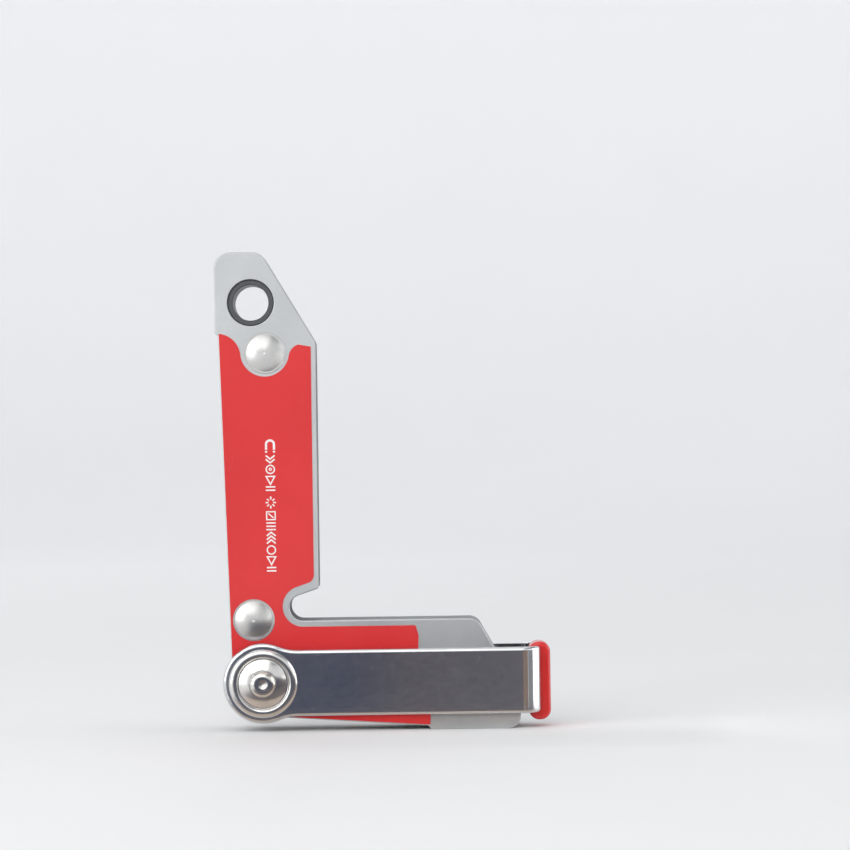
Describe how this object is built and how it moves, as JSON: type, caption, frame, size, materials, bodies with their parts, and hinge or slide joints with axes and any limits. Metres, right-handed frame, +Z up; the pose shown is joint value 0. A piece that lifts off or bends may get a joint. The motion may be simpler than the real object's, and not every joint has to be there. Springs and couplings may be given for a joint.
{
  "type": "welding magnet holder",
  "caption": "L-shaped magnetic welding square with steel side plates, red labels, a hanging hole and a U-shaped steel release lever with a red grip on its short leg.",
  "frame": {"origin": "middle of the bottom of the object's bounding box, on the surface under the short leg's pad", "axes": "+Z up along the long leg, +X along the short leg towards the lever's grip, +Y from the screw head's side to the nut's side"},
  "size_m": [0.105, 0.0292, 0.1517],
  "materials": {
    "zinc_plate": "satin zinc plating, faintly mottled",
    "red_vinyl": "glossy printed vinyl sticker",
    "core_black": "moulded black plastic",
    "ferrite": "ground dark grey ferrite",
    "bush_black": "dark grey plastic bush",
    "bright_nickel": "bright nickel-plated steel",
    "bright_strap": "polished and plated steel strap",
    "plain_steel": "cut steel tube",
    "nylon": "natural nylon",
    "red_grip": "glossy red moulded plastic"
  },
  "bodies": {
    "holder_body": {"front_side_plate": "zinc_plate", "rear_side_plate": "zinc_plate", "front_label": "red_vinyl", "rear_label": "red_vinyl", "core_spacer": "core_black", "long_leg_magnet_upper": "ferrite", "long_leg_magnet_middle": "ferrite", "long_leg_magnet_lower": "ferrite", "short_leg_magnet_inner": "ferrite", "short_leg_magnet_outer": "ferrite", "hang_hole_bush": "bush_black", "upper_rivet": "bright_nickel", "lower_rivet": "bright_nickel", "upper_rivet_spacer": "plain_steel", "lower_rivet_spacer": "plain_steel", "pivot_spacer": "plain_steel", "front_friction_washer": "nylon", "rear_friction_washer": "nylon", "front_cup_washer": "bright_nickel", "rear_cup_washer": "bright_nickel", "pivot_screw": "bright_nickel", "pivot_nut": "bright_nickel"},
    "lever": {"bail": "bright_strap", "bail_grip": "red_grip"}
  },
  "joints": [
    {"name": "lever_pivot", "type": "hinge", "parent": "holder_body", "child": "lever", "pos_m": [-0.0385, 0, 0.0153], "axis": [0, 1, 0], "range_deg": [-44, 208]}
  ]
}
